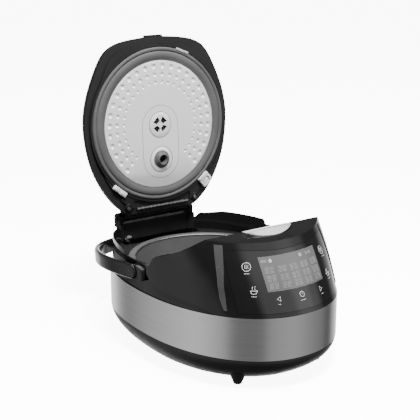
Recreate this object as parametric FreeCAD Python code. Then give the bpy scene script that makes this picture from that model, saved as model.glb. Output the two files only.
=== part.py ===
"""Rice cooker with an open hinged lid, a touch control panel, an inner pot and a carry handle.

The pieces are drawn in body coordinates: X to the right, Y to the rear, Z up, with Y = 0 at the
widest line of the body's oval.  place() moves each finished piece so that the origin lies on the
table under the middle of the opened cooker.  Lid pieces are drawn closed and swung open.
"""
import FreeCAD, Part
import math
import os
from FreeCAD import Vector

os.makedirs("parts", exist_ok=True)

# ---------------------------------------------------------------- driving dimensions (mm)
# body oval, from its widest line
half_width = 145.0
front_reach = 211.0
rear_reach = 200.0
front_power = 2.15
rear_power = 2.4
oval_points = 32

# heights of the body
base_bottom = 10.0
base_floor = 2.5
band_bottom = 48.0
band_top = 111.0
deck_top = band_top + 16.0
deck_thick = 2.6

# walls and clearances
base_wall = 3.0
band_wall = 1.2
frame_wall = 2.4
housing_wall = 3.0
seat_gap = 0.3
panel_gap = 0.4
well_gap = 1.2
pin_clearance = 0.05

# pot and its well
pot_y = 37.0
pot_radius = 113.5
pot_wall = 2.0
pot_bottom = 32.0
pot_rim_radius = 122.0
pot_rim_top = 130.4
rim_seat = 0.4
well_radius = 117.5
well_wall = 0.8

# heater under the pot
plate_radius = 88.0
plate_bottom = 17.0
plate_gap = 0.4
sensor_radius = 15.0

# lid hinge and lid
hinge_y = 190.0
hinge_z = 165.0
open_angle = 92.7
pin_radius = 3.0
knuckle_radius = 6.3
knuckle_half = 48.0
neck_half = 62.5
lid_front = 104.0
lid_face = 139.0
lid_plate = 3.0
lid_top = 213.0
cover_wall = 2.5
gasket_outer = 124.5
gasket_inner = 105.5
inner_plate_thick = 1.5

# control nose
panel_half = 90.0
panel_low = 117.0
panel_edge_below_top = 9.0
window_half = 50.0
window_low = 144.0
window_high = 188.0
button_half = 41.0
button_front = 137.0
button_rear = 110.5
button_top = 213.0

# carry handle
handle_pivot_y = 15.0
handle_pivot_z = 138.0
handle_half = half_width + 7.5
handle_rear = rear_reach + 22.0
handle_thick = 8.7
handle_tall = 23.0
handle_power = 3.0
handle_droop = 6.7

# origin: how far behind the oval's widest line it lies
origin_back = 17.6

# ---------------------------------------------------------------- plain helpers


def place(shape):
    """Body coordinates to the part's own frame."""
    moved = shape.copy()
    moved.translate(Vector(0, -origin_back, 0))
    return moved


def swing_open(shape):
    """A closed lid piece, turned about the hinge to the open position."""
    turned = shape.copy()
    turned.rotate(Vector(0, hinge_y, hinge_z), Vector(1, 0, 0), -open_angle)
    return turned


def save(name, shape):
    placed = place(shape)
    placed.exportStep("parts/" + name + ".step")
    solids = len(placed.Solids)
    print(name, "solids", solids, "volume", round(placed.Volume), "valid", placed.isValid())


def save_lid(name, shape):
    save(name, swing_open(shape))


def box(x0, x1, y0, y1, z0, z1):
    return Part.makeBox(x1 - x0, y1 - y0, z1 - z0, Vector(x0, y0, z0))


def disc(radius, x, y, z0, z1):
    return Part.makeCylinder(radius, z1 - z0, Vector(x, y, z0), Vector(0, 0, 1))


def ring(outer, inner, x, y, z0, z1):
    return disc(outer, x, y, z0, z1).cut(disc(inner, x, y, z0 - 1.0, z1 + 1.0))


def bar(radius, x0, x1, y, z):
    """A round bar along X."""
    return Part.makeCylinder(radius, x1 - x0, Vector(x0, y, z), Vector(1, 0, 0))


def joined(pieces):
    whole = pieces[0]
    for piece in pieces[1:]:
        whole = whole.fuse(piece)
    return whole.removeSplitter()


def group(pieces):
    return Part.makeCompound(pieces)


def mirrored(shape):
    return shape.mirror(Vector(0, 0, 0), Vector(1, 0, 0))


def closed_curve(points):
    curve = Part.BSplineCurve()
    curve.interpolate(points, True)
    return Part.Wire(curve.toShape())


def revolved(outline, x, y):
    """A solid turned about the vertical through x, y from (radius, z) points."""
    points = [Vector(x + r, y, z) for r, z in outline]
    points.append(points[0])
    face = Part.Face(Part.makePolygon(points))
    return face.revolve(Vector(x, y, 0), Vector(0, 0, 1), 360)


def side_prism(outline, x0, x1):
    """A (y, z) polygon extruded along X."""
    points = [Vector(x0, y, z) for y, z in outline]
    points.append(points[0])
    return Part.Face(Part.makePolygon(points)).extrude(Vector(x1 - x0, 0, 0))


def coil(radius, wire, x, y, z0, z1, turns):
    """A compression spring standing on z0."""
    height = z1 - z0 - 2 * wire
    helix = Part.makeHelix(height / turns, height, radius)
    section = Part.Wire(Part.makeCircle(wire, Vector(radius, 0, 0), Vector(0, 1, 0)))
    spring = Part.Wire(helix).makePipeShell([section], True, True)
    spring.translate(Vector(x, y, z0 + wire))
    return spring


# ---------------------------------------------------------------- body oval and its lofts


def oval_wire(width, front, rear, z):
    """A superellipse, fuller at the rear than at the front."""
    points = []
    for step in range(oval_points):
        angle = 2 * math.pi * step / oval_points
        along = math.cos(angle)
        across = math.sin(angle)
        power = rear_power if across >= 0 else front_power
        reach = rear if across >= 0 else front
        x = width * math.copysign(abs(along) ** (2 / power), along)
        y = reach * math.copysign(abs(across) ** (2 / power), across)
        points.append(Vector(x, y, z))
    return closed_curve(points)


def oval_loft(sections, inset=0.0):
    wires = [oval_wire(w - inset, f - inset, r - inset, z) for z, w, f, r in sections]
    return Part.makeLoft(wires, True)


def straight_oval(inset, z0, z1):
    wire = oval_wire(half_width - inset, front_reach - inset, rear_reach - inset, z0)
    return Part.Face(wire).extrude(Vector(0, 0, z1 - z0))


base_side_inset = 23.0
base_end_inset = 36.0
base_seam = 0.4
base_steps = 4


def base_sections():
    """The base draws in towards the table, faster the lower it gets."""
    sections = []
    for step in range(base_steps + 1):
        share = step / base_steps
        z = band_bottom - (band_bottom - base_bottom) * share
        side = base_seam + base_side_inset * share ** 2
        end = base_seam + base_end_inset * share ** 2
        sections.append((z, half_width - side, front_reach - end, rear_reach - end))
    return sections


# insets of the housing from the band's outline: height above the band, side, front, rear
cheek_profile = [(0, 0.3, 0.3, 0.3), (24, 0.8, 13.0, 1.5), (54, 1.7, 30.0, 3.5)]
cheek_profile += [(79, 3.5, 45.5, 9.0), (103, 7.0, 60.5, 15.0)]
skirt_profile = [(0, 2.4, 4.0, 2.4), (14, 3.8, 11.0, 4.0), (39, 4.6, 25.0, 5.5), (64, 5.4, 41.0, 8.0)]


def housing_sections(profile):
    sections = []
    for rise, side, front, rear in profile:
        sections.append((band_top + rise, half_width - side, front_reach - front, rear_reach - rear))
    return sections


cheek = oval_loft(housing_sections(cheek_profile))
cheek_inner = oval_loft(housing_sections(cheek_profile), housing_wall)
skirt = oval_loft(housing_sections(skirt_profile))
skirt_inner = oval_loft(housing_sections(skirt_profile), housing_wall)

# ---------------------------------------------------------------- side profiles of the housing
nose_ridge_y = -108.0
nose_ridge_z = 209.8
split_y = -14.0
notch_z = 152.0
notch_rear = 62.0
collar_z = 160.0
collar_rear_z = 155.5
far = 400.0


def nose_profile(drop):
    """What lies under the top of the control nose and the falling cheek edge."""
    top = [(-180, 197), (-166, 202), (-156, 204.6), (-140, 206.4), (nose_ridge_y, nose_ridge_z)]
    top += [(-95, 199.6), (-82, 191), (-66, 183.4), (-50, 177), (-38, 173.6)]
    top += [(-32.5, 169.5), (-28, 162.5), (-23, 156.5), (split_y, notch_z + 0.6)]
    outline = [(y, z - drop) for y, z in top]
    outline += [(split_y, -drop), (-far, -drop), (-far, 197 - drop)]
    return side_prism(outline, -far, far)


def skirt_region():
    """Everything behind the seam that rises from the band to the notch."""
    seam = [(-150, band_top - 2), (-121, 119), (-85, 123.6), (-53, 127.8), (-34, 131.6)]
    seam += [(-24, 135.4), (-18, 140.8), (split_y, 148.0)]
    return side_prism(seam + [(split_y, far), (far, far), (far, band_top - 2)], -far, far)


def collar_profile():
    """What lies under the top edge of the skirt and the rear collar."""
    top = [(-far, notch_z), (notch_rear - 3, notch_z), (notch_rear, collar_z - 2)]
    top += [(notch_rear + 3, collar_z), (140, collar_z), (165, collar_rear_z), (far, collar_rear_z)]
    return side_prism(top + [(far, 0), (-far, 0)], -far, far)


# ---------------------------------------------------------------- outline of the lid, closed
lid_edge = [(88, -88), (111, -56), (128, -15), (135.6, 25), (133.8, 60), (126.5, 95)]
lid_edge += [(115.5, 122), (100.5, 147), (82, 168), (neck_half, 181.5)]
lid_nose = [(0, -lid_front), (46, -101)]


def lid_outline(grow):
    """Half outline from the nose round to the neck, moved outwards by grow."""
    points = lid_nose + lid_edge
    moved = []
    for index, (x, y) in enumerate(points):
        before = points[max(index - 1, 0)]
        after = points[min(index + 1, len(points) - 1)]
        run_x = after[0] - before[0]
        run_y = after[1] - before[1]
        length = math.hypot(run_x, run_y)
        if index == 0:
            run_x, run_y, length = 1.0, 0.0, 1.0
        moved.append((x + grow * run_y / length, y - grow * run_x / length))
    return moved


def lid_wire(grow, z, rear_grow=None):
    half = lid_outline(grow)
    rear_y = half[-1][1] + (grow if rear_grow is None else rear_grow)
    right = [Vector(x, y, z) for x, y in half]
    left = [Vector(-x, y, z) for x, y in reversed(half[1:])]
    curve = Part.BSplineCurve()
    curve.interpolate(left + right)
    edge = curve.toShape()
    start = left[0]
    end = right[-1]
    back_right = Vector(end.x, rear_y, z)
    back_left = Vector(start.x, rear_y, z)
    lines = [Part.makeLine(end, back_right), Part.makeLine(back_right, back_left)]
    lines.append(Part.makeLine(back_left, start))
    return Part.Wire([edge] + lines)


def lid_slab(grow, z0, z1, rear_grow=None):
    face = Part.Face(lid_wire(grow, z0, rear_grow))
    return face.extrude(Vector(0, 0, z1 - z0))


well_column = lid_slab(well_gap, deck_top, far, well_gap + 0.6)

# ---------------------------------------------------------------- base, band and frame
base_outer = oval_loft(base_sections())
base_hollow = oval_loft(base_sections(), base_wall)
floor_cut = box(-far, far, -far, far, base_bottom + base_floor, far)
inlet_low = 22.0
inlet_high = 44.0
inlet_face_y = rear_reach - 2.0
inlet_block_x = 20.0
foot_places = [(-73.0, -146.5), (73.0, -146.5), (-73.0, 138.0), (73.0, 138.0)]
vent_count = 9
vent_pitch = 9.0
vent_half = 2.0
vent_length = 36.0
screw_radius = 1.9
screw_head = 3.6
post_ring = 78.0
post_radius = 5.0


def inlet_block():
    """A block that stands out of the sloping base wall, with its underside faired back."""
    low = inlet_low - 4
    high = inlet_high + 2
    outline = [(150, low), (inlet_face_y - 24, low), (inlet_face_y - 3, inlet_low + 2)]
    outline += [(inlet_face_y, inlet_low + 4), (inlet_face_y, high), (150, high)]
    return side_prism(outline, -inlet_block_x, inlet_block_x)


def post_places():
    """Three places under the heating plate, where a post and its screw stand."""
    places = []
    for angle in (90, 210, 330):
        x = post_ring * math.cos(math.radians(angle))
        y = pot_y + post_ring * math.sin(math.radians(angle))
        places.append((x, y))
    return places


def base_vents():
    slots = []
    for index in range(vent_count):
        x = (index - (vent_count - 1) / 2) * vent_pitch
        slots.append(box(x - vent_half, x + vent_half, -130, -130 + vent_length, 0, 20))
    return group(slots)


def make_base_shell():
    shell = base_outer.cut(base_hollow.common(floor_cut))
    for x, y in post_places():
        shell = shell.cut(disc(screw_radius, x, y, base_bottom - 1, base_bottom + 10))
        shell = shell.cut(disc(screw_head + 0.4, x, y, base_bottom - 1, base_bottom + 1.4))
    shell = shell.cut(base_vents())
    return shell.cut(inlet_block())


foot_top_radius = 15.0
foot_low_radius = 6.2
pad_radius = 5.2
pad_height = 2.4
pad_proud = 0.8


def make_feet():
    feet = []
    for x, y in foot_places:
        cone = Part.makeCone(foot_low_radius, foot_top_radius, 22.0, Vector(x, y, pad_proud))
        cone = cone.cut(base_outer)
        keep = cone.common(box(-far, far, -far, far, 0, 26))
        body = max(keep.Solids, key=lambda solid: solid.Volume)
        body = body.cut(disc(pad_radius + 0.1, x, y, 0, pad_height))
        feet.append(body)
    return feet


def make_foot_pads():
    return [disc(pad_radius, x, y, 0, pad_height) for x, y in foot_places]


def make_base_screws():
    screws = []
    for x, y in post_places():
        head = disc(screw_head, x, y, base_bottom + 0.1, base_bottom + 1.4)
        shank = disc(screw_radius - 0.1, x, y, base_bottom + 1.4, plate_bottom - 0.6)
        screws.append(head.fuse(shank))
    return screws


def make_band():
    band = straight_oval(0, band_bottom, band_top)
    return band.cut(straight_oval(band_wall, band_bottom - 1, band_top + 1))


def make_inner_frame():
    frame = straight_oval(band_wall + 0.1, band_bottom, band_top)
    return frame.cut(straight_oval(band_wall + frame_wall, band_bottom - 1, band_top + 1))


# ---------------------------------------------------------------- hinge block behind the well
block_half = 73.0
block_front = 160.0
block_rear = 198.5
block_top = 155.5
block_low = 119.0
ear_inner = 65.0
ear_outer = 72.5
ear_radius = 9.0


def hinge_block_room():
    room = box(-block_half, block_half, block_front, block_rear, block_low, block_top)
    corners = [edge for edge in room.Edges if is_upright(edge) and edge.BoundBox.YMin > block_rear - 1]
    return room.makeFillet(9.0, corners)


def is_upright(edge):
    size = edge.BoundBox
    return size.XLength < 0.01 and size.YLength < 0.01


def make_hinge_block():
    block = hinge_block_room().cut(well_column)
    block = block.cut(box(-far, far, -far, block_rear - 7, 0, deck_top + 0.001))
    low = box(-block_half + 3, block_half - 3, block_rear - 40, block_rear - 4, 0, deck_top)
    block = block.cut(low)
    ears = []
    for x0, x1 in ((-ear_outer, -ear_inner), (ear_inner, ear_outer)):
        eye = bar(ear_radius, x0, x1, hinge_y, hinge_z)
        web = box(x0, x1, hinge_y - ear_radius, block_rear, block_top - 6, hinge_z)
        ears.append(eye.fuse(web.common(box(-far, far, 0, block_rear, 0, far))))
    block = joined([block] + ears)
    return block.cut(bar(pin_radius + pin_clearance, -far, far, hinge_y, hinge_z))


def make_hinge_pin():
    head = bar(pin_radius + 2.0, ear_outer + 0.2, ear_outer + 2.6, hinge_y, hinge_z)
    clip = bar(pin_radius + 1.6, -ear_outer - 1.8, -ear_outer - 0.4, hinge_y, hinge_z)
    return joined([bar(pin_radius, -ear_outer - 2.6, ear_outer + 0.2, hinge_y, hinge_z), head, clip])


spring_radius = 5.0
spring_wire = 0.9
spring_turns = 5


def make_lid_springs():
    """Two torsion springs between the lid knuckle and the ears, each with two legs."""
    springs = []
    for side in (-1, 1):
        length = 2.4 * spring_wire * spring_turns
        start = knuckle_half + 2.0
        coil_piece = coil(spring_radius, spring_wire, 0, 0, 0, length + 2 * spring_wire, spring_turns)
        coil_piece.rotate(Vector(0, 0, 0), Vector(0, 1, 0), 90)
        coil_piece.translate(Vector(start, hinge_y, hinge_z))
        springs.append(coil_piece if side > 0 else mirrored(coil_piece))
    return springs


# ---------------------------------------------------------------- housings and deck
groove_half = 18.0
groove_deep = 2.4
groove_low = 141.0
slot_half = 8.0
hook_low = 151.6
hollow_rear = -110.0


def panel_patch(outer_inset, inner_inset, side, low, below_top):
    """A layer of the nose's skin, between two insets and inside a frame seen from the front."""
    sections = housing_sections(cheek_profile)
    layer = oval_loft(sections, outer_inset) if outer_inset > 0 else cheek
    layer = layer.cut(oval_loft(sections, inner_inset))
    layer = layer.common(box(-side, side, -far, -100, low, far))
    return layer.common(nose_profile(below_top))


def button_room(gap):
    """Plan of the release button: straight rear, bowed front."""
    rear_y = -button_rear + gap
    half = button_half + gap
    end_y = -(button_front - 16.0) - gap
    front_y = -button_front - gap
    corner_a = Vector(-half, rear_y, 150)
    corner_b = Vector(half, rear_y, 150)
    side_a = Vector(-half, end_y, 150)
    side_b = Vector(half, end_y, 150)
    arc = Part.Arc(side_b, Vector(0, front_y, 150), side_a).toShape()
    edges = [Part.makeLine(corner_a, corner_b), Part.makeLine(corner_b, side_b), arc]
    edges.append(Part.makeLine(side_a, corner_a))
    return Part.Face(Part.Wire(edges)).extrude(Vector(0, 0, 100))


def make_front_housing():
    shell = cheek.common(nose_profile(0)).cut(skirt_region()).cut(well_column)
    under = skirt_inner.common(box(-far, far, -far, far, 0, deck_top))
    nose = cheek_inner.common(nose_profile(housing_wall))
    nose = nose.common(box(-104, 104, -far, hollow_rear, 0, far))
    shell = shell.cut(under).cut(nose)
    shell = shell.cut(panel_patch(0, housing_wall + 0.5, panel_half + panel_gap,
                                  panel_low - panel_gap, panel_edge_below_top - panel_gap))
    shell = shell.cut(button_room(0.5))
    groove = box(-groove_half, groove_half, -lid_front - well_gap - groove_deep, -90, groove_low, far)
    window = box(-slot_half, slot_half, hollow_rear - 1, -90, hook_low - 1.2, hook_low + 7.0)
    shell = shell.cut(groove).cut(window)
    return max(shell.Solids, key=lambda solid: solid.Volume)


def make_rear_housing():
    shell = skirt.common(skirt_region()).common(collar_profile()).cut(well_column)
    under = skirt_inner.common(box(-far, far, -far, far, 0, deck_top))
    shell = shell.cut(under).cut(hinge_block_room())
    return shell.cut(bar(pivot_radius + pin_clearance, -far, far, handle_pivot_y, handle_pivot_z))


def make_pot_deck():
    plate = skirt_inner.common(box(-far, far, -far, block_rear, deck_top - deck_thick, deck_top))
    shrunk = oval_loft(housing_sections(skirt_profile), housing_wall + 0.15)
    plate = plate.common(shrunk)
    nose_cut = box(-far, far, -far, -lid_front - 20, 0, far)
    plate = plate.cut(nose_cut).cut(hinge_block_room())
    return plate.cut(disc(well_radius + 2.0, 0, pot_y, 0, far))


# ---------------------------------------------------------------- control nose pieces


def make_control_panel():
    panel = panel_patch(0, housing_wall - 0.2, panel_half, panel_low, panel_edge_below_top)
    return panel.cut(window_patch(0.0, window_thick + 0.15))


window_thick = 0.9


def window_patch(window_gap, thick):
    side = window_half - window_gap
    patch = cheek.cut(oval_loft(housing_sections(cheek_profile), thick))
    frame = box(-side, side, -far, -100, window_low + window_gap, window_high - window_gap)
    return patch.common(frame)


board_tilt = 31.0
board_low = 143.0
board_front_y = -174.0
board_long = 52.0
board_half = 54.0
board_thick = 1.6
module_thick = 5.0
module_half = 47.0


def tilted(shape):
    """From an upright panel at y = 0 to the lean of the nose."""
    turned = shape.copy()
    turned.rotate(Vector(0, 0, 0), Vector(1, 0, 0), -board_tilt)
    turned.translate(Vector(0, board_front_y, board_low))
    return turned


def make_display_module():
    return tilted(box(-module_half, module_half, 0, module_thick, 2, board_long - 4))


def make_display_board():
    y0 = module_thick
    return tilted(box(-board_half, board_half, y0, y0 + board_thick, 0, board_long - 2))


def make_panel_posts():
    """Posts that hold the display board off the inside of the nose."""
    nose_room = oval_loft(housing_sections(cheek_profile), housing_wall)
    posts = []
    for x in (-board_half + 3, board_half - 3):
        for z in (3, board_long - 5):
            post = Part.makeCylinder(2.6, 40, Vector(x, module_thick, z), Vector(0, -1, 0))
            post = tilted(post).common(nose_room)
            posts.append(post)
    return posts


bracket_z = 186.0
bracket_thick = 2.0
button_low = 201.0
stem_radius = 2.6


def make_latch_bracket():
    plate = box(-34, 34, -132, hollow_rear, bracket_z, bracket_z + bracket_thick)
    plate = plate.cut(disc(stem_radius + 0.5, 0, -122, 0, far))
    flange = box(-34, 34, hollow_rear - 2, hollow_rear, bracket_z - 10, bracket_z)
    return joined([plate, flange.cut(box(-14, 14, -far, far, 0, far))])


def make_release_button():
    """A wedge: the top falls to the front and to the rear from a ridge."""
    room = button_room(0)
    ridge_y = -button_rear - 9.0
    outline = [(-button_front - 5, 206.0), (ridge_y, button_top), (-button_rear + 5, button_top - 2.5)]
    outline += [(-button_rear + 5, button_low), (-button_front - 5, button_low - 7.5)]
    body = room.common(side_prism(outline, -far, far))
    stem = disc(stem_radius, 0, -122, bracket_z + bracket_thick - 6, button_low + 1)
    return joined([body, stem])


def make_button_spring():
    return coil(5.2, 0.6, 0, -122, bracket_z + bracket_thick + 0.1, 196.6, 4)


def make_latch_hook():
    wall_y = hollow_rear
    plate = box(-12, 12, wall_y - 4.0, wall_y - 0.4, 146, bracket_z - 1.6)
    nose = box(-slot_half + 1, slot_half - 1, wall_y - 1, -lid_front - 1.6, hook_low, hook_low + 4.6)
    return joined([plate, nose])


# ---------------------------------------------------------------- pot, well and heater
pot_corner = 20.0


def make_inner_pot():
    rim_low = deck_top + rim_seat
    inner = pot_radius - pot_wall
    outline = [(0, pot_bottom), (pot_radius - 4, pot_bottom), (pot_radius, rim_low)]
    outline += [(pot_rim_radius, rim_low), (pot_rim_radius, pot_rim_top), (inner, pot_rim_top)]
    outline += [(inner - 4, pot_bottom + pot_wall), (0, pot_bottom + pot_wall)]
    pot = revolved(outline, 0, pot_y)
    outside = [edge for edge in pot.Edges if is_ring(edge, pot_bottom, pot_radius - 4)]
    pot = pot.makeFillet(pot_corner, outside)
    inside = [edge for edge in pot.Edges if is_ring(edge, pot_bottom + pot_wall, inner - 4)]
    pot = pot.makeFillet(pot_corner - pot_wall, inside)
    edge_ring = [edge for edge in pot.Edges if is_ring(edge, pot_rim_top, pot_rim_radius)]
    return pot.makeFillet(1.2, edge_ring)


def is_ring(edge, z, radius):
    size = edge.BoundBox
    round_here = abs(size.XMax - radius) < 0.5
    return abs(size.ZMin - z) < 0.1 and abs(size.ZMax - z) < 0.1 and round_here


def make_heating_well():
    top = deck_top - deck_thick
    outer = well_radius + well_wall
    wall = ring(outer, well_radius, 0, pot_y, 20, top)
    floor = ring(outer, plate_radius + seat_gap, 0, pot_y, 20, 20 + well_wall)
    flange = ring(well_radius + 8.0, well_radius, 0, pot_y, top - well_wall, top)
    return joined([wall, floor, flange])


element_radius = 3.8
element_ring = 62.0


def make_heating_plate():
    plate = disc(plate_radius, 0, pot_y, plate_bottom, pot_bottom - plate_gap)
    plate = plate.cut(disc(sensor_radius + 0.6, 0, pot_y, 0, far))
    groove = Part.makeTorus(element_ring, element_radius + 0.2, Vector(0, pot_y, plate_bottom))
    rim = [edge for edge in plate.Edges if is_ring(edge, pot_bottom - plate_gap, plate_radius)]
    return plate.makeFillet(4.0, rim).cut(groove)


def make_heating_element():
    half = Part.makeTorus(element_ring, element_radius, Vector(0, pot_y, plate_bottom))
    gap = box(-9, 9, pot_y - far, pot_y, 0, far)
    return half.cut(gap)


def make_plate_posts():
    posts = []
    for x, y in post_places():
        post = disc(post_radius, x, y, base_bottom + base_floor, plate_bottom)
        posts.append(post.cut(disc(screw_radius, x, y, 0, plate_bottom - 0.4)))
    return posts


def make_side_heater():
    outer = well_radius + well_wall + 0.2
    wrap = ring(outer + 1.0, outer, 0, pot_y, 62, 98)
    return wrap.cut(box(-6, 6, pot_y, far, 0, far))


def make_sensor_cup():
    top = pot_bottom - seat_gap
    cup = disc(sensor_radius, 0, pot_y, top - 11, top)
    return cup.cut(disc(sensor_radius - 2.5, 0, pot_y, top - 12, top - 2))


def make_sensor_spring():
    return coil(9.0, 0.7, 0, pot_y, base_bottom + base_floor + 0.1, pot_bottom - seat_gap - 2.1, 4)


def make_thermal_fuse():
    body = bar(1.6, 28, 44, pot_y - 22, plate_bottom - 2.5)
    strap = box(30, 42, pot_y - 28, pot_y - 16, plate_bottom - 1.0, plate_bottom)
    return joined([body, strap, box(34, 38, pot_y - 23.4, pot_y - 20.6, plate_bottom - 2.5, plate_bottom)])


# ---------------------------------------------------------------- power board and inlet
power_board_z = 26.0
power_board_x = 62.0
power_board_front = -142.0
power_board_rear = -94.0


def make_power_board():
    top = power_board_z + board_thick
    return box(-power_board_x, power_board_x, power_board_front, power_board_rear, power_board_z, top)


def make_board_standoffs():
    posts = []
    for x in (-54.0, 54.0):
        for y in (-132.0, -101.0):
            posts.append(disc(3.2, x, y, base_bottom + base_floor, power_board_z))
    return posts


def on_board(shape):
    lifted = shape.copy()
    lifted.translate(Vector(0, 0, power_board_z + board_thick))
    return lifted


def make_relay():
    return on_board(box(-48, -29, -126, -110, 0, 16))


def make_transformer():
    core = box(-12, 18, -130, -106, 0, 24)
    winding = box(-8, 14, -134, -102, 4, 20)
    return on_board(joined([core, winding]))


def make_capacitor():
    return on_board(disc(7, 38, -116, 0, 22))


socket_half_x = 12.0
socket_half_z = 7.5
socket_deep = 18.0
pin_recess = 7.0


def make_power_inlet():
    """A socket block that sits in the rear of the base, open to the rear."""
    middle = (inlet_low + inlet_high) / 2
    block = inlet_block().common(box(-far, far, inlet_face_y - 26, far, 0, far))
    block = block.cut(box(-far, far, -far, far, band_bottom - 2, far))
    cavity = box(-socket_half_x, socket_half_x, inlet_face_y - socket_deep, inlet_face_y + 1,
                 middle - socket_half_z, middle + socket_half_z)
    block = block.cut(cavity)
    for pin in inlet_pins(0.05):
        block = block.cut(pin)
    return block


def inlet_pins(gap):
    middle = (inlet_low + inlet_high) / 2
    pins = []
    for x, z in ((-7.0, middle - 2.0), (7.0, middle - 2.0), (0.0, middle + 2.0)):
        pins.append(box(x - 1 - gap, x + 1 + gap, inlet_face_y - 32, inlet_face_y - pin_recess,
                        z - 2 - gap, z + 2 + gap))
    return pins


# ---------------------------------------------------------------- handle
seat_front = -13.0
seat_half_tall = 12.5
handle_points = 24
handle_round = 3.2


def handle_path(width, rear):
    """The middle line of the handle seen from above, from one pivot round the rear to the other."""
    points = []
    for step in range(handle_points + 1):
        angle = math.pi * step / handle_points
        along = math.cos(angle)
        across = math.sin(angle)
        x = width * math.copysign(abs(along) ** (2 / handle_power), along)
        y = handle_pivot_y + (rear - handle_pivot_y) * abs(across) ** (2 / handle_power)
        points.append(Vector(x, y, handle_pivot_z))
    curve = Part.BSplineCurve()
    curve.interpolate(points)
    return Part.Wire(curve.toShape())


def handle_section(x):
    """A rounded upright section of the handle's arm, across its path at one pivot."""
    half_x = handle_thick / 2
    half_z = handle_tall / 2
    y = handle_pivot_y
    frame = Part.makeBox(2 * half_x, 1.0, 2 * half_z, Vector(x - half_x, y, handle_pivot_z - half_z))
    corners = [edge for edge in frame.Edges if edge.BoundBox.YLength > 0.9]
    block = frame.makeFillet(handle_round, corners)
    faces = [face for face in block.Faces if face.BoundBox.YLength < 0.01 and face.BoundBox.YMax < y + 0.5]
    return faces[0].OuterWire


def arm_end(x):
    """The round end of an arm, about the pivot."""
    end = bar(handle_tall / 2, x - handle_thick / 2, x + handle_thick / 2, handle_pivot_y, handle_pivot_z)
    rims = [edge for edge in end.Edges if edge.BoundBox.XLength < 0.01]
    front = box(-far, far, -far, handle_pivot_y, 0, far)
    return end.makeFillet(handle_round, rims).common(front)


def make_handle():
    middle = handle_half - handle_thick / 2
    path = handle_path(middle, handle_rear - handle_thick / 2)
    bail = path.makePipeShell([handle_section(middle)], True, False)
    bail = joined([bail, arm_end(middle), arm_end(-middle)])
    bail = bail.cut(bar(pivot_radius + pin_clearance, -far, far, handle_pivot_y, handle_pivot_z))
    bail.rotate(Vector(0, handle_pivot_y, handle_pivot_z), Vector(1, 0, 0), -handle_droop)
    return bail


pivot_radius = 4.0
pin_reach = 8.2


def make_pivot_seats():
    """Moulded seats that hold the front of each handle arm."""
    seats = []
    room = bar(handle_tall / 2 + 0.6, -far, far, handle_pivot_y, handle_pivot_z)
    for side in (-1, 1):
        x0 = min(side * (handle_half - 0.6), side * 130.0)
        x1 = max(side * (handle_half - 0.6), side * 130.0)
        low = handle_pivot_z - seat_half_tall
        high = handle_pivot_z + seat_half_tall
        seat = box(x0, x1, seat_front, handle_pivot_y - 2, low, high)
        fronts = [edge for edge in seat.Edges if is_along_x(edge) and edge.BoundBox.YMax < seat_front + 1]
        seat = seat.makeFillet(7.0, fronts)
        seat = seat.cut(skirt).cut(cheek.common(nose_profile(0)).cut(skirt_region()))
        outside = seat.cut(room)
        seats.append(max(outside.Solids, key=lambda solid: solid.Volume))
    return seats


def is_along_x(edge):
    size = edge.BoundBox
    return size.YLength < 0.01 and size.ZLength < 0.01


def make_pivot_pins():
    pins = []
    for side in (-1, 1):
        wall = half_width - pin_reach
        x0 = min(side * (handle_half - 1.0), side * wall)
        pin = bar(pivot_radius, x0, x0 + handle_half - 1.0 - wall, handle_pivot_y, handle_pivot_z)
        pins.append(pin)
    return pins


# ---------------------------------------------------------------- lid, drawn closed
# rise above the lid's face and how far the outline has drawn in towards the crown
cover_sections = [(lid_plate, 0.0), (9.0, 0.6), (20.0, 7.0), (33.0, 18.0), (47.0, 34.0), (60.0, 54.0)]
crown_inset = 84.0
crown_y = 45.0
vent_y = 38.0
valve_y = 95.0
valve_radius = 19.5
cap_low = 197.0
tube_radius = 8.0
gasket_low = 133.6
plate_low = 134.6
platform_inset = 13.0
platform_low = 136.2
rim_low = 134.6
slot_ring = 11.0
clip_angle = 50.9
clip_inner = 124.8
clip_outer = 142.0
clip_half = 11.0
clip_low = 131.8
clip_travel = 3.0
lid_screw_x = 65.0
lid_screw_y = 167.0
tab_low = 144.2
tab_high = 150.8
tab_half = 16.0
tab_proud = 2.2


def cover_wire(inset, z):
    """The lid's outline drawn in towards a point over the pot, straight across at the neck."""
    moved = []
    for x, y in lid_nose + lid_edge:
        reach = math.hypot(x, y - crown_y)
        share = (reach - inset) / reach
        moved.append((x * share, crown_y + (y - crown_y) * share))
    right = [Vector(x, y, z) for x, y in moved]
    left = [Vector(-x, y, z) for x, y in reversed(moved[1:])]
    curve = Part.BSplineCurve()
    curve.interpolate(left + right)
    return Part.Wire([curve.toShape(), Part.makeLine(right[-1], left[0])])


def cover_dome(shrink):
    wires = [cover_wire(inset + shrink, lid_face + rise) for rise, inset in cover_sections]
    wires.append(cover_wire(crown_inset + shrink, lid_top - 1.0))
    return Part.makeLoft(wires, True)


def neck_room(gap):
    """The neck that carries the knuckle, in front of the hinge."""
    outline = [(173.5, lid_face), (179.5, lid_face), (183.2, lid_face + 4), (183.2, 171), (173.5, 171)]
    neck = side_prism(outline, -neck_half, neck_half)
    if gap > 0:
        neck = box(-neck_half - gap, neck_half + gap, 173.5 - gap, 190, lid_face, 171 + gap)
    return neck


def make_lid_cover():
    hollow = cover_dome(cover_wall)
    hollow.translate(Vector(0, 0, -cover_wall))
    shell = cover_dome(0.0).cut(hollow).cut(neck_room(0.4))
    hole = disc(valve_radius + 0.3, 0, valve_y, cap_low - 20, far)
    seat = ring(valve_radius + 2.5, valve_radius + 0.3, 0, valve_y, cap_low, lid_top - 4)
    return joined([shell.cut(hole), seat])


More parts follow.
